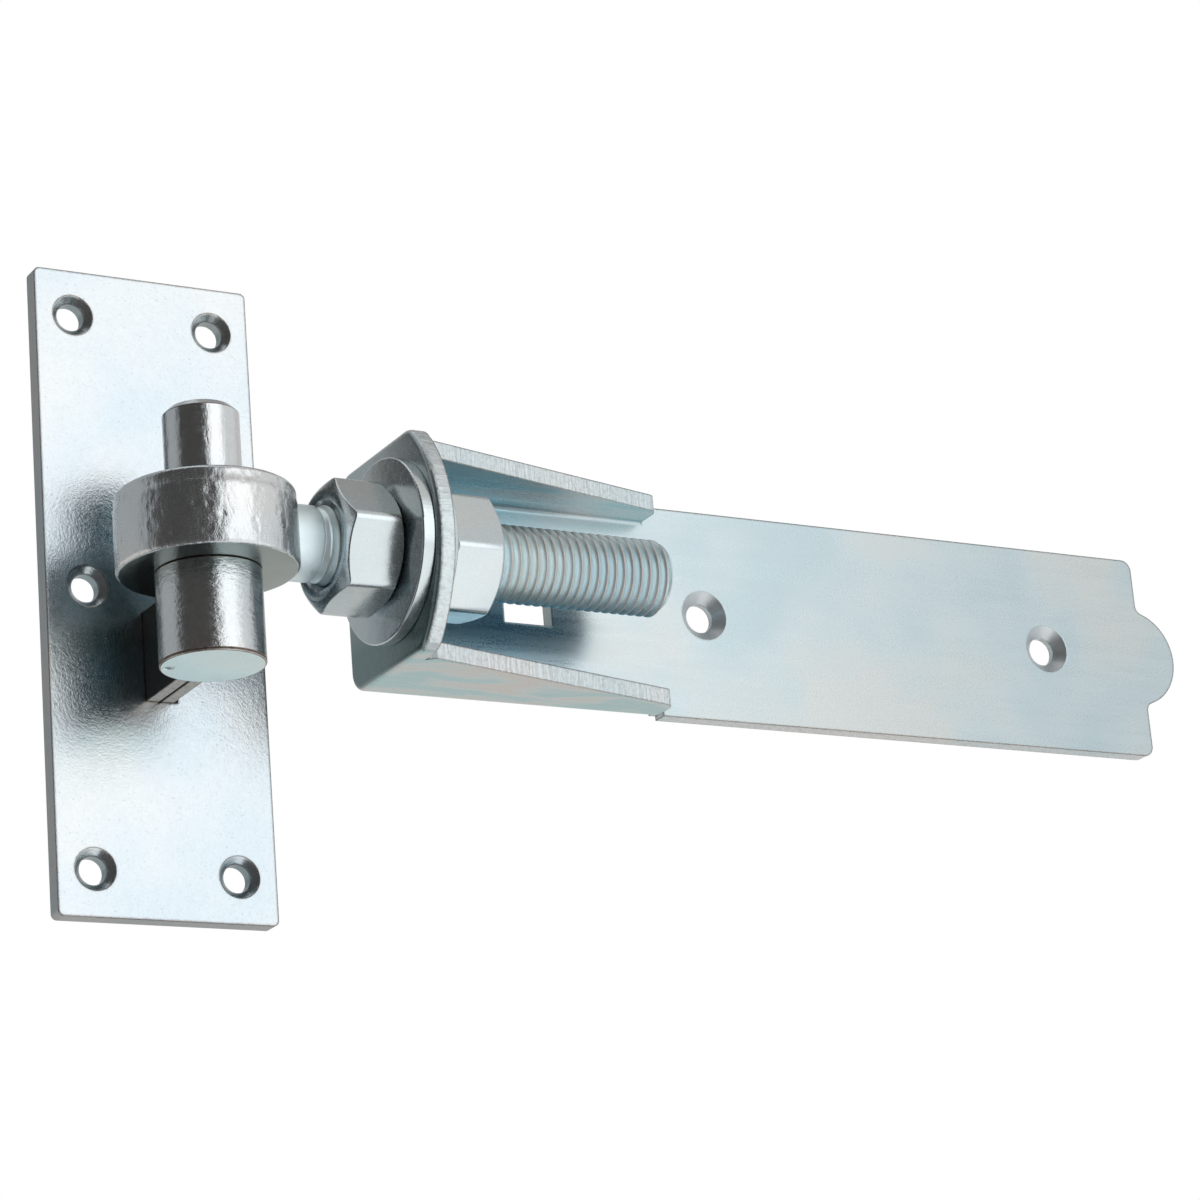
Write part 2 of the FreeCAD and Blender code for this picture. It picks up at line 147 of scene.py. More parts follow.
# %% Clouds of three hues
def clouds_of_colour(tree, place, size, hues, low, high, twist=0.0):
    """Soft clouds of three hues, size mm wide. The outer hues are full below low and above high."""
    clouds = add_node(tree, "TexNoise", {"Vector": place, "Scale": per_mm(size), "Detail": 2.0,
                                         "Distortion": twist})
    spread = add_node(tree, "ValToRGB", {"Fac": clouds.outputs["Fac"]})
    first, last = spread.color_ramp.elements
    first.position, first.color = low, linear(hues[0])
    last.position, last.color = high, linear(hues[2])
    spread.color_ramp.elements.new(0.50).color = linear(hues[1])
    return spread.outputs[0]


# %% [markdown]
# ## Worn edges
# Handling rubs the plating off a corner, and a thin brown line of steel comes through. Rounding the mesh
# gives the corner its shape, but the line is wider than the rounding and ragged. Cycles' Bevel node tells how
# the normal would turn if the corner were rounder: where that normal leaves the true one, the corner is near.
# The crystals of the zinc make the line's border ragged, and the rounded normal softens the gleam.

# %% Find and colour the corners
BARE_STEEL = "#75665C"
RAGGEDNESS = 0.3
# How alike the two normals are, with the ragged part added, where the zinc is gone and where it is whole
GONE_AT, WHOLE_AT = 1.02, 1.11


def wear_corners(tree, colour, crystals, reach):
    """Colours the metal within reach mm of a corner. Gives the new colour and the rounded normal."""
    rounded = add_node(tree, "Bevel", {"Radius": reach * MM}, samples=6).outputs[0]
    true_normal = add_node(tree, "NewGeometry").outputs["Normal"]
    alike = add_node(tree, "VectorMath", {0: rounded, 1: true_normal}, operation="DOT_PRODUCT")
    ragged = add_node(tree, "Math", {0: crystals, 1: RAGGEDNESS, 2: alike.outputs["Value"]},
                      operation="MULTIPLY_ADD")
    gone = add_node(tree, "MapRange", {"Value": ragged.outputs[0], "From Min": WHOLE_AT, "From Max": GONE_AT})
    worn = add_node(tree, "Mix", {0: gone.outputs[0], 6: colour, 7: linear(BARE_STEEL)}, data_type="RGBA")
    return worn.outputs[2], rounded


# %% [markdown]
# ## Bright zinc
# Every piece is mild steel with bright zinc plating. Zinc is a pale metal, a little blue, with a soft satin
# sheen rather than a mirror's. The plating's crystals show as a fine grain, and the steel under it brings its
# own marks: rolled sheet is smooth, a drawn bar has lines along it, and a forging has swells and pits. The
# true crystals are finer than a render can show, so they are drawn half a millimetre wide or more. A picture
# of zinc would show its seams where it wraps a bent piece, and noises in the piece's own space have none.
# One function lays the zinc, and each finish says what its steel looks like.

# %% The zinc finish
CLOUD_SIZE = 34
SWELL_SIZE = 9
PIT_SIZE = 3.2
SPECK_SIZE = 1.1
# Nearly all values of a noise lie between these two
NOISE_LOW, NOISE_HIGH = 0.3, 0.7


def bright_zinc(name, roughness, film, grain=0.5, grain_depth=0.03, streaks=(1, 1, 1), streak_size=2.5,
                streak_depth=0.05, waves=0.0, pits=0.0, specks=0.0, edge=0.0):
    """Zinc plating over steel. film is the passivate's three hues. Sizes and depths are in mm."""
    material = bpy.data.materials.new(name)
    material.use_nodes = True
    tree = material.node_tree
    shader = tree.nodes["Principled BSDF"]
    shader.inputs["Metallic"].default_value = 1.0
    place = add_node(tree, "TexCoord").outputs["Object"]
    crystals = add_node(tree, "TexNoise", {"Vector": place, "Scale": per_mm(grain), "Detail": 3.0,
                                           "Roughness": 0.7}).outputs["Fac"]
    along = add_node(tree, "Mapping", {"Vector": place, "Scale": streaks}).outputs[0]
    marks = add_node(tree, "TexNoise", {"Vector": along, "Scale": per_mm(streak_size), "Detail": 5.0,
                                        "Roughness": 0.6}).outputs["Fac"]

    shade = add_node(tree, "MapRange", {"Value": crystals, "From Min": NOISE_LOW, "From Max": NOISE_HIGH,
                                        "To Min": 0.95, "To Max": 1.03})
    if specks:
        spots = add_node(tree, "TexNoise", {"Vector": place, "Scale": per_mm(SPECK_SIZE), "Detail": 4.0,
                                            "Roughness": 0.65})
        shade = add_node(tree, "MapRange", {"Value": spots.outputs["Fac"], "From Min": 0.36, "From Max": 0.54,
                                            "To Min": 1 - specks, "To Max": 1.04})
    clouds = clouds_of_colour(tree, place, CLOUD_SIZE, film, low=0.34, high=0.66)
    colour = add_node(tree, "Mix", {0: 1.0, 6: clouds, 7: shade.outputs[0]}, data_type="RGBA",
                      blend_type="MULTIPLY").outputs[2]
    normal = None
    if edge:
        colour, normal = wear_corners(tree, colour, crystals, edge)
    tree.links.new(colour, shader.inputs["Base Color"])

    uneven = add_node(tree, "Mix", {0: 0.5, 2: crystals, 3: marks}).outputs[0]
    dull = add_node(tree, "MapRange", {"Value": uneven, "From Min": NOISE_LOW, "From Max": NOISE_HIGH,
                                       "To Min": roughness - 0.06, "To Max": roughness + 0.08})
    tree.links.new(dull.outputs[0], shader.inputs["Roughness"])

    # each bump is laid over the one before, and the crystals come first
    bumps = [(crystals, grain_depth), (marks, streak_depth)]
    if waves:
        swell = add_node(tree, "TexNoise", {"Vector": along, "Scale": per_mm(SWELL_SIZE), "Detail": 2.0})
        bumps.append((swell.outputs["Fac"], waves))
    if pits:
        dents = add_node(tree, "TexVoronoi", {"Vector": place, "Scale": per_mm(PIT_SIZE)},
                         feature="SMOOTH_F1")
        hollow = add_node(tree, "MapRange", {"Value": dents.outputs["Distance"], "From Min": 0.0,
                                             "From Max": 0.35})
        bumps.append((hollow.outputs[0], pits))
    for height, depth in bumps:
        under = {"Normal": normal} if normal else {}
        normal = add_node(tree, "Bump", {"Height": height, "Strength": 1.0, "Distance": depth * MM,
                                         **under}).outputs[0]
    tree.links.new(normal, shader.inputs["Normal"])
    return material


def tint(finish, mask, colour):
    """Lays another colour over a finish where the mask is 1. colour is sRGB hex or a node's output."""
    tree = finish.node_tree
    base = tree.nodes["Principled BSDF"].inputs["Base Color"]
    other = linear(colour) if isinstance(colour, str) else colour
    mixed = add_node(tree, "Mix", {0: mask, 6: base.links[0].from_socket, 7: other}, data_type="RGBA")
    tree.links.new(mixed.outputs[2], base)


# The passivate's three hues, from the bluest film to the clearest
BLUE_FILM = ("#B2C3C8", "#BAC7CB", "#C2C8C8")
PALE_FILM = ("#BDC9D0", "#C3CCD1", "#CACFD1")
NUT_FILM = ("#C4D0D5", "#CAD4D8", "#CFD5D5")
CLEAR_FILM = ("#C6CDD1", "#CDD2D4", "#D2D3D2")

# %% [markdown]
# ## Dressing a CAD solid
# The CAD solids have knife-sharp edges, and real sheet and bar don't: their edges are worn round by a few
# tenths of a millimetre, and that thin line catches the light. The CAD mesh itself stays as it is. A copy
# is welded, its flat faces are merged, and its sharp edges are rounded, and the copy stands for the node.
# Some faces of a piece were sheared, sawn or drilled, so a list of tests says which faces get another finish.

# %% Copy, weld and round
WELD = 0.002 * MM
FLAT_WITHIN = math.radians(0.6)
SHARP_FROM = math.radians(28)

# Plating that wore thin on a rounded edge: brown and grey, with specks of bare steel
zinc_worn_corner = bright_zinc("zinc_on_worn_corner", roughness=0.38, film=("#756A62", "#8A7F77", "#A0968E"),
                               streak_depth=0.2, grain_depth=0.12, specks=0.45)


def stand_for(node, mesh, name):
    """A piece made of this mesh, which rides on the node's body and stands for the node."""
    piece = bpy.data.objects.new(name, mesh)
    bpy.context.scene.collection.objects.link(piece)
    body = frame["nodes"][node]["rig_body"]
    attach(piece, body)
    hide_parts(node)
    print(f"{name}: {len(mesh.polygons)} faces, rides on {body}")
    return piece


def round_edges(piece, width):
    """Rounds the sharp edges by width millimetres, with the finish of a worn corner."""
    rounding = piece.modifiers.new("worn_edges", "BEVEL")
    rounding.width = width * MM
    rounding.segments = 3
    rounding.material = 1
    rounding.limit_method = "ANGLE"
    rounding.angle_limit = SHARP_FROM
    flat = piece.modifiers.new("flat_faces_stay_flat", "WEIGHTED_NORMAL")
    flat.weight = 100
    flat.keep_sharp = True


def dress(node, name, finish, width, parts=()):
    """A copy of a CAD node with rounded edges. parts lists (test, finish) pairs for some of its faces."""
    mesh = bpy.data.meshes.new(name)
    work = bmesh.new()
    work.from_mesh(frame["nodes"][node].data)
    bmesh.ops.remove_doubles(work, verts=work.verts, dist=WELD)
    bmesh.ops.dissolve_limit(work, angle_limit=FLAT_WITHIN, verts=work.verts, edges=work.edges)
    work.normal_update()
    for face in work.faces:
        face.smooth = True
        face.material_index = 0
        for number, (test, _) in enumerate(parts, start=2):
            if test(face.calc_center_median() / MM, face.normal):
                face.material_index = number
    work.to_mesh(mesh)
    work.free()
    for material in (finish, zinc_worn_corner, *(other for _, other in parts)):
        mesh.materials.append(material)
    piece = stand_for(node, mesh, name)
    round_edges(piece, width)
    return piece


# %% [markdown]
# ## Wall plate
# The plate is a length of flat bar, sawn to size, drilled and countersunk. Rolling left its faces nearly as
# smooth as a mirror, so they show the studio and a blurred dark image of the pin. The saw left lines across
# the rim. The bores are painted a darker blue, as painted shade in the holes. One shader could
# find the rim by its place, but a test on each face is simpler, and the border falls on the edge itself.

# %% Dress the wall plate
PLATE_HALF_WIDTH, PLATE_HALF_HEIGHT = (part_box("wall_plate")[1] / MM).xz

# Rolled flat bar: the most mirror-like piece, with a fine sparkle of crystals
zinc_plate_bar = bright_zinc("zinc_on_plate_bar", roughness=0.21, film=PALE_FILM, grain=0.65,
                             grain_depth=0.065, streak_depth=0.04, edge=1.0)
# Sawn end of the bar: greyer, with lines across the thickness
zinc_sawn_rim = bright_zinc("zinc_on_sawn_bar_rim", roughness=0.30, film=("#939DA0", "#9DA3A5", "#A6A6A4"),
                            streaks=(1, 0.12, 1), streak_size=1.6, streak_depth=0.3, grain_depth=0.08,
                            edge=0.8)
# Drilled bore: darker and bluer, painted shade in the hole
zinc_bore_painted_shade = bright_zinc("screw_hole_painted_shade", roughness=0.30, film=("#8598A0", "#8FA0A6", "#98A5A9"),
                        grain_depth=0.03, streak_depth=0.10)


def plate_rim(place, normal):
    at_side = abs(place.x) > PLATE_HALF_WIDTH - 1 or abs(place.z) > PLATE_HALF_HEIGHT - 1
    return abs(normal.y) < 0.3 and at_side


def plate_bore(place, normal):
    return abs(normal.y) < 0.3 and not plate_rim(place, normal)


wall_plate = dress("wall_plate", "wall_plate_zinc", zinc_plate_bar, 0.45,
                   parts=((plate_rim, zinc_sawn_rim), (plate_bore, zinc_bore_painted_shade)))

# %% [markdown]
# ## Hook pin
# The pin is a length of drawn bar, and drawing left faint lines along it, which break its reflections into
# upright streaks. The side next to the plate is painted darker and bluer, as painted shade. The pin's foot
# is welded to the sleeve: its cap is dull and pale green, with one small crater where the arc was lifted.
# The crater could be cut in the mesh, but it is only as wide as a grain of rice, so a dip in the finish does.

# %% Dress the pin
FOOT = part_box("hook_pin")[0].z / MM
WELD_CRATER = Vector((-10.0, PIN_Y / MM + 4.1, -29.1)) * MM
CRATER_FLOOR, CRATER_WALL, CRATER_RIM, CRATER_DEPTH = 0.5 * MM, 1.0 * MM, 1.8 * MM, 1.1 * MM

# Drawn bar: bright, with lines along the bar
zinc_drawn_bar = bright_zinc("zinc_on_drawn_bar", roughness=0.18, film=CLEAR_FILM, grain=1.1,
                             grain_depth=0.08, streaks=(1, 1, 0.3), streak_size=1.3, streak_depth=0.10)
# Weld metal: cools rough and takes a pale green film
zinc_welded_foot = bright_zinc("zinc_on_welded_foot", roughness=0.42, film=("#D2E2E1", "#DCEAE8", "#E2E9E4"),
                               grain_depth=0.06, streak_depth=0.10, waves=0.15)


def paint_shade_on_the_back(finish, colour):
    """Paints shade on the side of a piece that faces the wall plate."""
    tree = finish.node_tree
    facing = add_node(tree, "SeparateXYZ", {0: add_node(tree, "TexCoord").outputs["Normal"]})
    back = add_node(tree, "MapRange", {"Value": facing.outputs["Y"], "From Min": 0.3, "From Max": 0.7})
    tint(finish, back.outputs[0], colour)


def add_weld_crater(finish):
    """A round dip with a darker floor."""
    tree = finish.node_tree
    normal = tree.nodes["Principled BSDF"].inputs["Normal"]
    place = add_node(tree, "TexCoord").outputs["Object"]
    away = add_node(tree, "VectorMath", {0: place, 1: WELD_CRATER}, operation="DISTANCE").outputs["Value"]
    bowl = add_node(tree, "MapRange", {"Value": away, "From Min": CRATER_FLOOR, "From Max": CRATER_RIM},
                    interpolation_type="SMOOTHSTEP")
    dent = add_node(tree, "Bump", {"Height": bowl.outputs[0], "Strength": 1.0, "Distance": CRATER_DEPTH,
                                   "Normal": normal.links[0].from_socket})
    tree.links.new(dent.outputs[0], normal)
    on_floor = add_node(tree, "MapRange", {"Value": away, "From Min": CRATER_WALL, "From Max": CRATER_FLOOR})
    tint(finish, on_floor.outputs[0], "#6F868C")


def pin_foot(place, normal):
    return normal.z < -0.9 and place.z < FOOT + 4


# painted shade: the side of the pin next to the plate is darker and bluer
paint_shade_on_the_back(zinc_drawn_bar, "#4B7782")
add_weld_crater(zinc_welded_foot)
hook_pin = dress("hook_pin", "hook_pin_zinc", zinc_drawn_bar, 0.3,
                 parts=((pin_foot, zinc_welded_foot),))

# %% [markdown]
# ## Sleeve
# The sleeve is one flat strip bent round the pin, and its two ends, the legs, go through a slot in the plate.
# Bending left faint rings round it. Scratches modelled one by one would be too many, and a noise squeezed
# along the pin's axis draws the rings at once. The sides of the legs, in the narrow gap between them, are
# painted nearly black as painted shade, and the heat of the weld browned the strip's lower edge.

# %% Dress the sleeve
LEGS_FROM = -25

# Strip bent cold: bright, with faint rings round the pin
zinc_bent_strip = bright_zinc("zinc_on_bent_strip", roughness=0.18, film=CLEAR_FILM, grain=1.2,
                              grain_depth=0.10, streaks=(0.4, 0.4, 1), streak_size=1.1, streak_depth=0.16)
# Sides of the legs: nearly black, painted shade in the narrow gap between them
zinc_shade_in_the_gap = bright_zinc("painted_shade_in_the_gap", roughness=0.35, film=("#4F5A5E", "#5C6466", "#66645F"),
                              grain_depth=0.05, streak_depth=0.15)
# Lower edge of the strip: browned by the weld, with dark specks
zinc_beside_weld = bright_zinc("zinc_beside_a_weld", roughness=0.34, film=("#A89F96", "#B0A9A1", "#B5B1AA"),
                               grain_depth=0.05, streak_depth=0.15, specks=0.3)


def leg_side(place, normal):
    return abs(normal.x) > 0.9 and place.y > LEGS_FROM


def strip_underside(place, normal):
    return normal.z < -0.9


# painted shade: the side of the sleeve next to the plate is darker and bluer
paint_shade_on_the_back(zinc_bent_strip, "#4B7782")
pin_sleeve = dress("pin_sleeve", "pin_sleeve_zinc", zinc_bent_strip, 0.3,
                   parts=((leg_side, zinc_shade_in_the_gap), (strip_underside, zinc_beside_weld)))

# %% [markdown]
# ## Colours of the strap's film
# The strap is one sheet, folded along both sides and across its end. The film ran before it was dry, and left
# long swirls of teal, grey and straw along the flanges. In the channel behind the bolt a deeper blue is a
# painted reflection and shade of the bolt, and low on the end wall a darker colour is painted shade. It could
# be painted by hand, but the direction that a spot faces and its place along the strap already say which of
# these it gets.

# %% The strap's finish
# Cold-rolled sheet: smooth and satin, with faint lines along the strap
zinc_strap_sheet = bright_zinc("zinc_on_strap_sheet", roughness=0.28, film=BLUE_FILM, grain_depth=0.018,
                               streaks=(0.1, 1, 1), streak_depth=0.03, edge=0.9)
FLANGE_FILM = ("#A8C6CA", "#BECBCC", "#C5C4C2")
RINSE_SIZE = 9
CHANNEL_BLUE_FULL, CHANNEL_BLUE_ENDS = 92 * MM, 122 * MM

tree = zinc_strap_sheet.node_tree
coordinates = add_node(tree, "TexCoord")
spot = add_node(tree, "SeparateXYZ", {0: coordinates.outputs["Object"]})
facing = add_node(tree, "SeparateXYZ", {0: coordinates.outputs["Normal"]})

# painted shade: darker low on the end wall's face towards the pin
low_down = add_node(tree, "MapRange", {"Value": spot.outputs["Z"], "From Min": BOLT_Z + 6 * MM,
                                       "From Max": BOLT_Z - 20 * MM})
to_the_pin = add_node(tree, "MapRange", {"Value": facing.outputs["X"], "From Min": -0.3, "From Max": -0.9})
painted_shade_low_on_the_wall = add_node(tree, "Math", {0: low_down.outputs[0], 1: to_the_pin.outputs[0]},
                           operation="MULTIPLY")
tint(zinc_strap_sheet, painted_shade_low_on_the_wall.outputs[0], "#788B8D")

swirls = add_node(tree, "Mapping", {"Vector": coordinates.outputs["Object"], "Scale": (0.3, 1, 1)}).outputs[0]
rinsed = clouds_of_colour(tree, swirls, RINSE_SIZE, FLANGE_FILM, low=0.40, high=0.62, twist=1.0)
sideways = add_node(tree, "Math", {0: facing.outputs["Z"]}, operation="ABSOLUTE")
on_a_flange = add_node(tree, "MapRange", {"Value": sideways.outputs[0], "From Min": 0.6, "From Max": 0.9})
tint(zinc_strap_sheet, on_a_flange.outputs[0], rinsed)

# painted reflection and shade of the bolt: a deeper blue on the band's front near the end wall
to_the_front = add_node(tree, "MapRange", {"Value": facing.outputs["Y"], "From Min": -0.6, "From Max": -0.9})
near_the_wall = add_node(tree, "MapRange", {"Value": spot.outputs["X"], "From Min": CHANNEL_BLUE_ENDS,
                                            "From Max": CHANNEL_BLUE_FULL})
painted_reflection_in_the_channel = add_node(tree, "Math", {0: to_the_front.outputs[0], 1: near_the_wall.outputs[0]},
                          operation="MULTIPLY")
tint(zinc_strap_sheet, painted_reflection_in_the_channel.outputs[0], "#A8CAD8")
print("strap's finish has", len(tree.nodes), "nodes")

# %% [markdown]
# ## Strap
# The blade of the shears left the sheet's rim rough, with fine lines across its thickness: the front edges of
# the flanges and of the end wall, and the rim of the flat band. The lines run another way on each of them. A
# single shader would have to turn its pattern with the face, so the sheared finish is made once for each
# direction instead. The countersinks were turned after folding, and fine tool marks make them dull.

# %% Dress the strap
FLANGES_END = 137
BAND_FROM = -15
SINKS_FROM = 140
ACROSS = {"y": (1, 0.12, 1), "z": (1, 1, 0.12), "x": (0.12, 1, 1)}

# Sheared edge: dull and bright, with lines across the sheet and small dark specks
zinc_sheared = {axis: bright_zinc(f"zinc_on_edge_sheared_across_{axis}", roughness=0.40, grain=0.6,
                                  film=("#C6D3D7", "#CDD6D9", "#D3D6D7"), streaks=stretch, streak_size=1.2,
                                  streak_depth=0.4, grain_depth=0.08, specks=0.14, edge=0.8)
                for axis, stretch in ACROSS.items()}
# Turned countersink: fine rings scatter the light to an even grey
zinc_turned_sink = bright_zinc("zinc_on_a_turned_countersink", roughness=0.42, film=CLEAR_FILM,
                               grain_depth=0.02, streak_depth=0.05)


def wall_edge(place, normal):
    return place.x < WALL_BACK and normal.y < -0.3 and abs(normal.x) < 0.5


def flange_edge(place, normal):
    return place.y < BAND_FROM and place.x > WALL_BACK + 0.3 and abs(normal.z) < 0.6


def band_rim(place, normal):
    return place.y >= BAND_FROM and place.x > FLANGES_END and abs(normal.y) < 0.3


def strap_sink(place, normal):
    return place.x > SINKS_FROM and -0.9 < normal.y < -0.5


strap = dress("strap", "strap_zinc", zinc_strap_sheet, 0.45,
              parts=((band_rim, zinc_sheared["y"]), (flange_edge, zinc_sheared["z"]),
                     (wall_edge, zinc_sheared["x"]), (strap_sink, zinc_turned_sink)))

# %% [markdown]
# ## Washers
# A washer is stamped from sheet and tumbled, which rounds its edges a little, and it is plated in a barrel
# with the nuts. Both have a smooth and rather bright film. A washer could be turned anew from its profile,
# but the CAD copy lacks only the rounding.

# %% Dress the washers
# Barrel-plated fastener: bright and even, with only a slight swell
zinc_fastener = bright_zinc("zinc_on_nuts_and_washers", roughness=0.23, film=NUT_FILM, grain_depth=0.010,
                            streak_depth=0.02, waves=0.10)
front_washer = dress("front_washer", "front_washer_zinc", zinc_fastener, 0.2)
rear_washer = dress("rear_washer", "rear_washer_zinc", zinc_fastener, 0.2)

# %% [markdown]
# ## The thread
# An M20 thread climbs 2.5 mm in one turn. Its shape is a profile of one pitch, swept along a helix. A
# modifier could repeat one turn, but its ends would need cutting. Here each column of points along the bolt
# holds the same profile, a little further along than the column before, and a point that passes the end of
# the thread stops there. The same function makes the thread inside a nut, a tenth of a millimetre wider,
# so the two always mesh, because a nut moves one pitch in one turn.

# %% Sweep a thread
PITCH = 2.5
CREST, DEPTH = 9.97, 1.42
BOLT_COLUMNS = 72
SPARE_TURNS = 3
# Height of one pitch of a rolled thread, as (place along the pitch, height from 0 to 1)
THREAD_PROFILE = [(0.0, 1.0), (0.05, 1.0), (0.10, 0.93), (0.28, 0.50), (0.42, 0.10), (0.50, 0.0),
                  (0.58, 0.10), (0.72, 0.50), (0.90, 0.93), (0.95, 1.0)]


def around_bolt(x, radius, angle):
    """A point at this radius and angle about the bolt's axis, from millimetres."""
    return Vector((x * MM, PIN_Y + radius * math.cos(angle) * MM, BOLT_Z + radius * math.sin(angle) * MM))


def sweep_thread(work, start, end, end_radii, limit, columns, wider=0.0, turned=0.0):
    """Adds a helical surface and returns its first and last rings of vertices. limit(x, r) trims it."""
    steps = len(THREAD_PROFILE)
    first = (math.floor(start / PITCH) - SPARE_TURNS) * steps
    last = (math.ceil(end / PITCH) + SPARE_TURNS) * steps
    lines = []
    for column in range(columns):
        angle = turned + 2 * math.pi * column / columns
        line = []
        for index in range(first, last):
            along, height = THREAD_PROFILE[index % steps]
            x = PITCH * (index // steps + along + angle / (2 * math.pi))
            radius = limit(x, CREST - DEPTH * (1 - height) + wider)
            if x <= start:
                x, radius = start, end_radii[0]
            elif x >= end:
                x, radius = end, end_radii[1]
            line.append(work.verts.new(around_bolt(x, radius, angle)))
        lines.append(line)
    # after one turn the helix has climbed a pitch, so the last column joins the first one pitch on
    lines_after = lines[1:] + [lines[0][steps:] + [lines[0][-1]] * steps]
    for here, there in zip(lines, lines_after):
        for index in range(last - first - 1):
            corners = [here[index], here[index + 1], there[index + 1], there[index]]
            if len(set(corners)) == 4 and len({tuple(v.co) for v in corners}) > 2:
                work.faces.new(corners)
    return [line[0] for line in lines], [line[-1] for line in lines]


def join_rings(work, one, other):
    """Quads between two rings of as many vertices."""
    for i in range(len(one)):
        j = (i + 1) % len(one)
        work.faces.new([one[i], one[j], other[j], other[i]])


def finish_piece(work, node, name, finish, sharp):
    """Turns the worked mesh into a piece that stands for a CAD node."""
    bmesh.ops.remove_doubles(work, verts=work.verts, dist=WELD)
    bmesh.ops.recalc_face_normals(work, faces=work.faces)
    mesh = bpy.data.meshes.new(name)
    work.to_mesh(mesh)
    work.free()
    mesh.shade_smooth()
    mesh.set_sharp_from_angle(angle=math.radians(sharp))
    mesh.materials.append(finish)
    return stand_for(node, mesh, name)


# %% [markdown]
# ## Zinc on a thread
# The thread is rolled, and its film is paler than the other zinc, painted light that lifts its dark valleys.
# The crests rub against the nut, so they look like thin brownish lines between cool, pale valleys. The crests
# could be faces with a finish of their own, but the lines are thinner than the faces, so the distance from
# the bolt's axis tells the shader which is which. The back of the bolt, which faces the plate and the strap,
# is painted bluer as painted shade, and a deep teal as painted shade inside the strap's channel, where it
# gives the strap a teal reflection.

# %% The thread's finish
RUBBED_FROM, RUBBED_FULL = (CREST - 0.08) * MM, (CREST - 0.03) * MM

# Rolled thread: dull between the crests, with the palest and coolest film of all, painted light that lifts
# its grooves
zinc_thread = bright_zinc("zinc_on_rolled_thread", roughness=0.44, film=("#DCEDF3", "#E1F0F4", "#E6F1F2"),
                          grain_depth=0.015, streak_depth=0.03)
tree = zinc_thread.node_tree
place = add_node(tree, "TexCoord").outputs["Object"]
from_axis = add_node(tree, "VectorMath", {0: place, 1: (0, PIN_Y, BOLT_Z)}, operation="SUBTRACT").outputs[0]
across = add_node(tree, "VectorMath", {0: from_axis, 1: (0, 1, 1)}, operation="MULTIPLY").outputs[0]
radius = add_node(tree, "VectorMath", {0: across}, operation="LENGTH").outputs["Value"]
rubbed = add_node(tree, "MapRange", {"Value": radius, "From Min": RUBBED_FROM, "From Max": RUBBED_FULL})
tint(zinc_thread, rubbed.outputs[0], "#B9B1AA")

spot = add_node(tree, "SeparateXYZ", {0: from_axis})
# painted shade: the back of the thread, which faces the plate and the strap, is bluer
behind = add_node(tree, "MapRange", {"Value": spot.outputs["Y"], "From Min": -0.5 * MM, "From Max": 4 * MM})
tint(zinc_thread, behind.outputs[0], "#B7D0DA")
# painted shade: a deep teal on the thread's back inside the strap's channel
past_the_wall = add_node(tree, "MapRange", {"Value": spot.outputs["X"], "From Min": 64 * MM,
                                            "From Max": 70 * MM})
painted_shade_in_the_channel = add_node(tree, "Math", {0: behind.outputs[0], 1: past_the_wall.outputs[0]}, operation="MULTIPLY")
tint(zinc_thread, painted_shade_in_the_channel.outputs[0], "#5E9FB4")
print("thread's finish has", len(tree.nodes), "nodes")

# %% [markdown]
# ## Ring of the eye bolt
# The eye bolt is forged, so its ring has soft rims, swells and pits, and a faint step near its top shows
# where the two halves of the die met. A rounded copy of the CAD would be too perfect a circle, so the ring is
# a profile turned about the pin's axis, and its radius wanders by a tenth of a millimetre, as hot metal does
# in a die. Its upper and lower faces were cut flat and smooth, and the lower one runs on the sleeve.

# %% Turn the ring
EYE_LOW, EYE_HIGH = (corner.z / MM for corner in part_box("eye_bolt"))
EYE_RADIUS = -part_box("eye_bolt")[0].x / MM
EYE_BORE = 9.6
BORE_CHAMFER = 0.5
RING_COLUMNS = 128
LOW_ROUND, HIGH_ROUND = 1.1, 1.4
DIE_LINE, DIE_STEP = 3.6, 0.22
WANDER, WANDER_SIZE = 0.12, 9
ROWS_BETWEEN = (3, 6, 9, 12, 14.6)

# Forging: the liveliest surface, with swells, pits and upright scale marks
zinc_forging = bright_zinc("zinc_on_forging", roughness=0.24, film=CLEAR_FILM, streaks=(1, 1, 0.45),
                           streak_depth=0.26, waves=0.40, pits=0.14)
# Faced forging: cut flat and smooth, with a darker colour that paints shade on the ring's flat top and
# underside
zinc_faced_painted_shade = bright_zinc("faced_forging_painted_shade", roughness=0.17, film=("#84928F", "#8D9998", "#949B99"),
                         grain_depth=0.01, streak_depth=0.02, waves=0.06)
# painted shade: the side of the ring next to the plate is darker and bluer
paint_shade_on_the_back(zinc_forging, "#9DB0B5")


def turn_profile(work, profile, columns, point):
    """Turns a closed profile of (radius, height) about an axis. point(radius, height, angle) places it."""
    rings = []
    for radius, height in profile:
        rings.append([work.verts.new(point(radius, height, 2 * math.pi * column / columns))
                      for column in range(columns)])
    for one, other in zip(rings, rings[1:] + rings[:1]):
        join_rings(work, one, other)


def quarter(radius, height, size, start, steps=6):
    """Points of a rounded corner, from its centre, size and first angle in degrees."""
    return [(radius + size * math.cos(math.radians(start + 90 * i / steps)),
             height + size * math.sin(math.radians(start + 90 * i / steps))) for i in range(steps + 1)]


def around_pin(radius, height, angle):
    """A point of the forged ring, whose outside wanders."""
    x, y = radius * math.cos(angle), radius * math.sin(angle)
    wander = WANDER * noise.noise(Vector((x, y, height)) / WANDER_SIZE) if radius > 12 else 0
    grown = radius - abs(wander)
    return Vector((grown * math.cos(angle) * MM, PIN_Y + grown * math.sin(angle) * MM, height * MM))


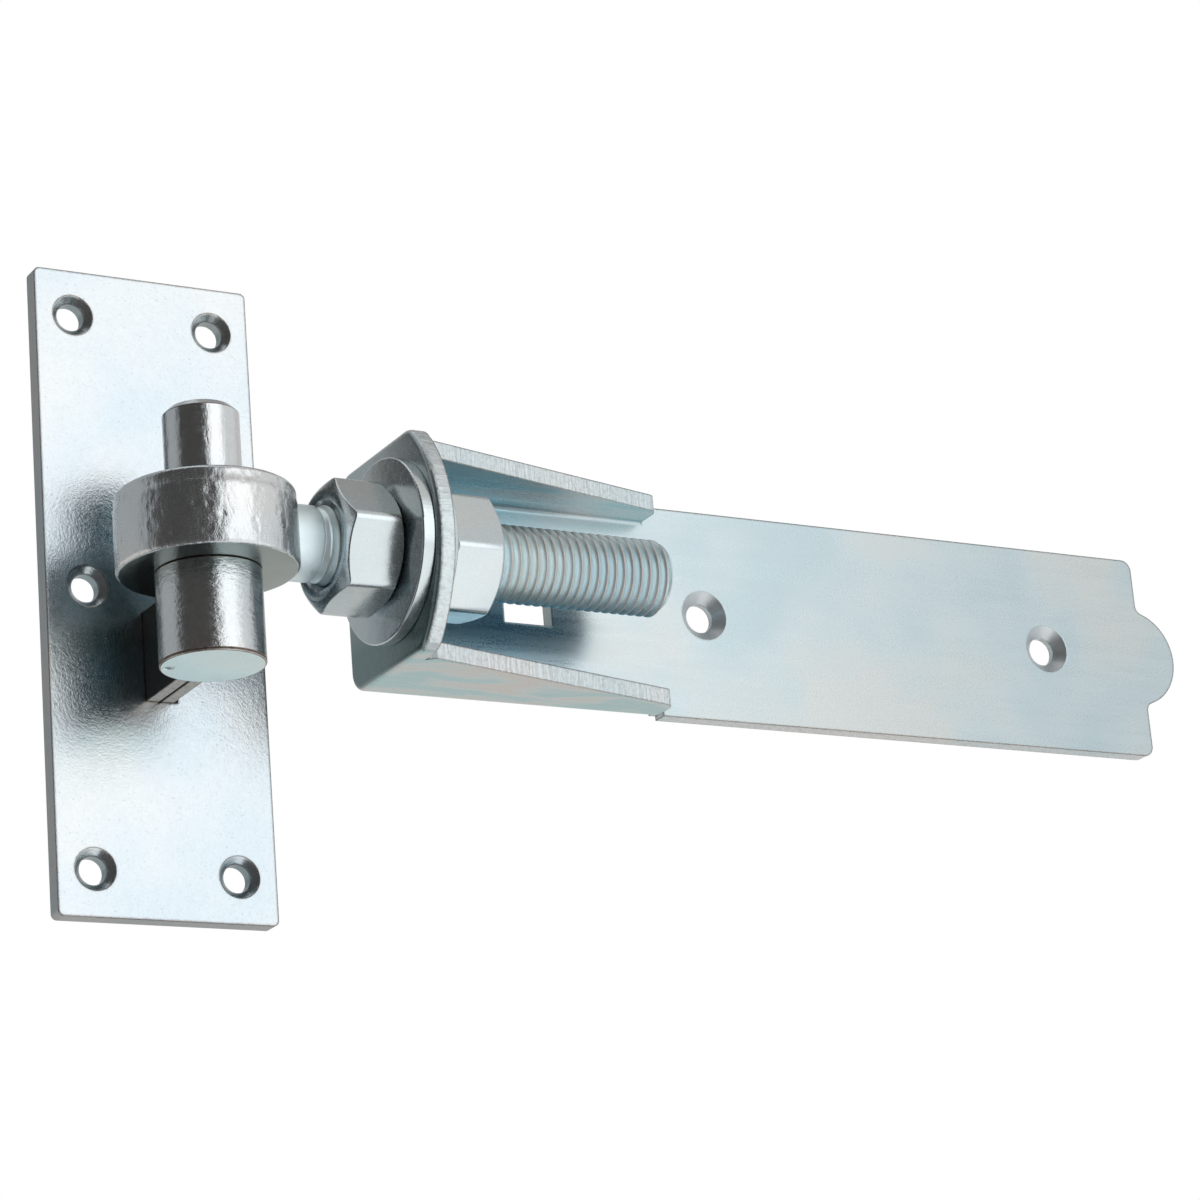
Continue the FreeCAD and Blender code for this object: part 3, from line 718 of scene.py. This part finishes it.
UPPER_RADIUS = EYE_RADIUS - DIE_STEP
ring_profile = [(EYE_BORE + BORE_CHAMFER, EYE_LOW), (EYE_RADIUS - 6, EYE_LOW)]
ring_profile += quarter(EYE_RADIUS - LOW_ROUND, EYE_LOW + LOW_ROUND, LOW_ROUND, -90)
ring_profile += [(EYE_RADIUS, EYE_LOW + row) for row in ROWS_BETWEEN]
ring_profile += [(EYE_RADIUS - 0.02, EYE_HIGH - DIE_LINE - 0.3), (UPPER_RADIUS, EYE_HIGH - DIE_LINE)]
ring_profile += quarter(UPPER_RADIUS - HIGH_ROUND, EYE_HIGH - HIGH_ROUND, HIGH_ROUND, 0)
ring_profile += [(EYE_BORE + BORE_CHAMFER, EYE_HIGH), (EYE_BORE, EYE_HIGH - BORE_CHAMFER),
                 (EYE_BORE, EYE_LOW + BORE_CHAMFER)]

eye_work = bmesh.new()
turn_profile(eye_work, ring_profile, RING_COLUMNS, around_pin)
print(f"ring: {len(eye_work.faces)} faces")

# %% [markdown]
# ## Shank of the eye bolt
# The shank starts inside the ring, so that the two overlap and no gap shows. Its short neck is plain, and its
# end is chamfered, to start a nut on it. The thread's crests fade into both. The neck carries the same dull
# zinc as the thread.

# %% Neck and thread
BOLT_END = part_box("eye_bolt")[1].x / MM
SHANK_START = 13
NECK_END = EYE_RADIUS + 5.5
NECK, NECK_GROOVE = 9.6, 8.7
END_CHAMFER = 1.8
FADE_SLOPE = 0.5


def bolt_limit(x, radius):
    """Trims the crests at both ends of the thread."""
    fade = NECK_GROOVE + max(0.0, x - NECK_END) * FADE_SLOPE
    end = CREST - END_CHAMFER + (BOLT_END - x)
    return min(radius, fade, end)


first_ring, last_ring = sweep_thread(eye_work, NECK_END, BOLT_END, (NECK_GROOVE, CREST - END_CHAMFER),
                                     bolt_limit, BOLT_COLUMNS)
rings = []
for x, radius in ((SHANK_START, NECK), (NECK_END - 1.0, NECK), (NECK_END - 0.2, NECK - 0.5)):
    rings.append([eye_work.verts.new(around_bolt(x, radius, 2 * math.pi * column / BOLT_COLUMNS))
                  for column in range(BOLT_COLUMNS)])
for one, other in zip(rings, rings[1:] + [first_ring]):
    join_rings(eye_work, one, other)
eye_work.faces.new(last_ring)
eye_bolt = finish_piece(eye_work, "eye_bolt", "eye_bolt_threaded", zinc_forging, sharp=35)


def on_the_shank(centre):
    """True past the neck, and on the neck's own round surface, which starts inside the ring."""
    from_bolt = math.hypot(centre.y - PIN_Y, centre.z - BOLT_Z) / MM
    return centre.x / MM > NECK_END - 1.2 or (centre.x / MM > 15 and 9.2 < from_bolt < NECK + 0.05)


eye_bolt.data.materials.append(zinc_thread)
eye_bolt.data.materials.append(zinc_faced_painted_shade)
for face in eye_bolt.data.polygons:
    if on_the_shank(face.center):
        face.material_index = 1
    elif abs(face.normal.z) > 0.98:
        face.material_index = 2

# %% [markdown]
# ## Nuts
# A hexagon nut is a hexagon cut by a cone at each face, which leaves the curved line at the top of each
# flat. It could be cut with a boolean, but a column that knows its own hexagon radius needs none: the cone
# meets it at a height that follows from that radius. Each nut has twice the bolt's columns, because its
# corners are rounded too.

# %% Build a nut
NUT_HALF = 15.0
NUT_CORNER = 2.2
NUT_FACE = 13.9
NUT_CONE = 0.58
NUT_BORE, NUT_MOUTH = 10.08, 1.5
NUT_COLUMNS = 144
THREAD_PLAY = 0.12
# Points (along the bolt, outwards) that soften the cone's two ends, from where the cone would be sharp
CONE_START = ((0.0, -0.9), (0.0, -0.35), (0.10, 0.15))
CONE_END = ((-0.10, -0.30), (0.05, -0.06), (0.35, 0.0))


def hexagon_radius(from_corner):
    """Distance from a nut's axis to its side, at an angle from the nearest corner, which is rounded."""
    centre = (NUT_HALF - NUT_CORNER) / math.cos(math.pi / 6)
    tangent = math.atan2(NUT_CORNER * 0.5, centre + NUT_CORNER * math.cos(math.pi / 6))
    if abs(from_corner) < tangent:
        outwards = math.sqrt(NUT_CORNER ** 2 - (centre * math.sin(from_corner)) ** 2)
        return centre * math.cos(from_corner) + outwards
    return NUT_HALF / math.cos(math.pi / 6 - abs(from_corner))


def build_nut(node, name, degrees):
    """A threaded nut in the place of a CAD nut, turned about the bolt as that one is."""
    low, high = (corner.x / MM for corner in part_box(node))
    turned = math.radians(degrees)
    mouth = NUT_BORE + NUT_MOUTH
    work = bmesh.new()

    def bore_limit(x, radius):
        return max(radius, mouth - (x - low), mouth - (high - x))

    front, back = sweep_thread(work, low, high, (mouth, mouth), bore_limit, NUT_COLUMNS, wider=THREAD_PLAY,
                               turned=turned)
    rows = [[] for _ in range(2 * len(CONE_START + CONE_END))]
    for column in range(NUT_COLUMNS):
        angle = 2 * math.pi * column / NUT_COLUMNS
        hexagon = hexagon_radius((angle + math.pi / 6) % (math.pi / 3) - math.pi / 6)
        cone = (hexagon - NUT_FACE) * NUT_CONE
        half = [(x, NUT_FACE + r) for x, r in CONE_START] + [(cone + x, hexagon + r) for x, r in CONE_END]
        outline = [(low + x, radius) for x, radius in half] + [(high - x, radius) for x, radius in half[::-1]]
        for row, (x, radius) in zip(rows, outline):
            row.append(work.verts.new(around_bolt(x, radius, angle + turned)))
    for one, other in zip([front] + rows, rows + [back]):
        join_rings(work, one, other)
    return finish_piece(work, node, name, zinc_fastener, sharp=50)


front_nut = build_nut("front_nut", "front_nut_threaded", 50.4)
rear_nut = build_nut("rear_nut", "rear_nut_threaded", 8.7)

# %% [markdown]
# ## Studio
# A polished metal shows its surroundings more than its own colour, so the studio matters as much as the
# material. It is a shell of curved cards, each as pale or dark as what stands on that side. The room to the
# left of the camera is dark, and gives the round pin and ring their dark bands. Grey cloths hang behind and
# to the right, a pale screen and ceiling fill the front, and the table below is white. A picture of a real
# room would do too, but cards can be set one by one until each reflection is right. None of them shows to
# the camera, and none throws a shadow.

# %% Hang the cards
CENTRE = (Vector(cad_box[0]) + Vector(cad_box[1])) / 2
CARD_DISTANCE = 1.75
CARD_STEPS = 12


def plain_material(name, colour, strength):
    """A matt material that only glows with its own colour, as a lit surface does."""
    material = bpy.data.materials.new(name)
    material.use_nodes = True
    shader = material.node_tree.nodes["Principled BSDF"]
    shader.inputs["Base Color"].default_value = linear("#000000")
    shader.inputs["Specular IOR Level"].default_value = 0.0
    shader.inputs["Emission Color"].default_value = linear(colour)
    shader.inputs["Emission Strength"].default_value = strength
    return material


def direction(azimuth, elevation):
    """A unit vector. Azimuth 0 is in front of the hinge and 90 to its left."""
    turn, rise = math.radians(azimuth), math.radians(elevation)
    return Vector((-math.sin(turn) * math.cos(rise), -math.cos(turn) * math.cos(rise), math.sin(rise)))


def hang_card(name, azimuths, elevations, colour, strength):
    """A curved card that stands round the hinge between two azimuths and two elevations."""
    work = bmesh.new()
    rows = []
    for j in range(CARD_STEPS + 1):
        elevation = elevations[0] + (elevations[1] - elevations[0]) * j / CARD_STEPS
        row = []
        for i in range(CARD_STEPS + 1):
            azimuth = azimuths[0] + (azimuths[1] - azimuths[0]) * i / CARD_STEPS
            row.append(work.verts.new(CENTRE + CARD_DISTANCE * direction(azimuth, elevation)))
        rows.append(row)
    for one, other in zip(rows, rows[1:]):
        for i in range(CARD_STEPS):
            work.faces.new([one[i], one[i + 1], other[i + 1], other[i]])
    mesh = bpy.data.meshes.new(name)
    work.to_mesh(mesh)
    work.free()
    mesh.materials.append(plain_material(name, colour, strength))
    card = bpy.data.objects.new(name, mesh)
    bpy.context.scene.collection.objects.link(card)
    card.visible_camera = False
    card.visible_shadow = False


# name, azimuths, elevations, colour, strength
CARDS = (
    ("dark_room_left", (11, 97), (-8, 64), "#514E4C", 1.0),
    ("dark_stand_left", (11, 97), (-88, -8), "#4E4A48", 1.0),
    ("grey_cloth_behind", (97, 180), (-8, 64), "#B7B9BA", 1.0),
    ("grey_cloth_right", (-180, -96), (2, 42), "#DADADA", 1.0),
    ("dark_ceiling_behind", (-180, -80), (42, 89), "#A6A5A4", 1.0),
    ("pale_screen_right", (-96, -36), (-8, 45), "#F3F3F3", 1.0),
    ("pale_ceiling_front", (-80, 11), (45, 89), "#E2DEDA", 1.0),
    ("white_table_front", (-62, 11), (-88, -8), "#FFFDFB", 1.25),
    ("grey_table_right", (-97, -62), (-88, -8), "#E3E6E7", 1.0),
    ("pale_table_behind", (97, 263), (-50, 2), "#DFDBD7", 1.0),
    ("dark_stand_behind", (97, 263), (-88, -50), "#5A5755", 1.0),
)
for card in CARDS:
    hang_card(*card)
print(len(CARDS), "cards hung")

# %% [markdown]
# ## Backdrop, soft box and floor
# The world is the white backdrop. It is fully white to the camera and in the metal's reflections, and a
# little weaker as a light. One large soft box in front of the hinge puts the bright band on the pin and the
# gleam on the plate. It is weak, because the cards already light the metal, and more would clip the plate to
# white. The floor is white too and lies well below, so that the hinge seems to float, as it does in a
# catalogue.

# %% World, lamp and floor
BACKDROP_AS_LIGHT = 0.8
SOFT_BOX_AZIMUTH, SOFT_BOX_ELEVATION, SOFT_BOX_DISTANCE = -13, 18, 1.5
SOFT_BOX_WATTS = 2.6
FLOOR_HALF, FLOOR_LEVEL = 5, -1.7

world = bpy.data.worlds.new("pale_backdrop")
bpy.context.scene.world = world
world.use_nodes = True
tree = world.node_tree
rays = add_node(tree, "LightPath")
seen = add_node(tree, "Math", {0: rays.outputs["Is Camera Ray"], 1: rays.outputs["Is Glossy Ray"]},
                operation="MAXIMUM")
seen = add_node(tree, "Math", {0: seen.outputs[0], 1: rays.outputs["Is Transmission Ray"]},
                operation="MAXIMUM")
strength = add_node(tree, "Mix", {0: seen.outputs[0], 2: BACKDROP_AS_LIGHT, 3: 1.0})
tree.links.new(strength.outputs[0], tree.nodes["Background"].inputs["Strength"])
tree.nodes["Background"].inputs["Color"].default_value = (1, 1, 1, 1)

lamp = bpy.data.lights.new("soft_box_front", "AREA")
lamp.shape = "RECTANGLE"
lamp.size, lamp.size_y = 1.15, 1.1
lamp.energy = SOFT_BOX_WATTS
lamp.color = (1.0, 0.975, 0.96)
soft_box = bpy.data.objects.new("soft_box_front", lamp)
bpy.context.scene.collection.objects.link(soft_box)
soft_box.location = CENTRE + SOFT_BOX_DISTANCE * direction(SOFT_BOX_AZIMUTH, SOFT_BOX_ELEVATION)
soft_box.rotation_euler = (CENTRE - soft_box.location).to_track_quat("-Z", "Y").to_euler()
soft_box.visible_camera = False

floor_mesh = bpy.data.meshes.new("floor")
floor_corners = [(x * FLOOR_HALF, y * FLOOR_HALF, FLOOR_LEVEL)
                 for x, y in ((-1, -1), (1, -1), (1, 1), (-1, 1))]
floor_mesh.from_pydata(floor_corners, [], [(0, 1, 2, 3)])
floor_mesh.materials.append(plain_material("pale_floor", "#FFFFFF", 1.0))
floor = bpy.data.objects.new("floor", floor_mesh)
bpy.context.scene.collection.objects.link(floor)
print(f"soft box at {[round(c, 2) for c in soft_box.location]} m, floor at {FLOOR_LEVEL} m")

# %% [markdown]
# ## Camera
# The photograph was taken from below and from the left with a long lens. The camera's place came from
# matching the hinge's known corners with the picture, so it is written out as numbers, in metres and
# radians.

# %% Set the camera
CAMERA_PLACE = Vector((-0.388983, -0.878704, -0.320100))
CAMERA_TARGET = Vector((0.130806, 0.0, 0.011414))
CAMERA_ROLL = 0.083
CAMERA_LENS = 120.998

ahead = (CAMERA_TARGET - CAMERA_PLACE).normalized()
level = ahead.cross(Vector((0, 0, 1))).normalized()
down = ahead.cross(level)
right = math.cos(CAMERA_ROLL) * level + math.sin(CAMERA_ROLL) * down
up = math.sin(CAMERA_ROLL) * level - math.cos(CAMERA_ROLL) * down
camera = bpy.data.objects.new("camera", bpy.data.cameras.new("camera"))
bpy.context.scene.collection.objects.link(camera)
camera.matrix_world = Matrix((
    (right.x, up.x, -ahead.x, CAMERA_PLACE.x), (right.y, up.y, -ahead.y, CAMERA_PLACE.y),
    (right.z, up.z, -ahead.z, CAMERA_PLACE.z), (0, 0, 0, 1)))
camera.data.lens = CAMERA_LENS
camera.data.sensor_width = 36
bpy.context.scene.camera = camera
bpy.context.scene.view_settings.view_transform = "Standard"
print(f"camera {(CAMERA_TARGET - CAMERA_PLACE).length:.3f} m from its target")
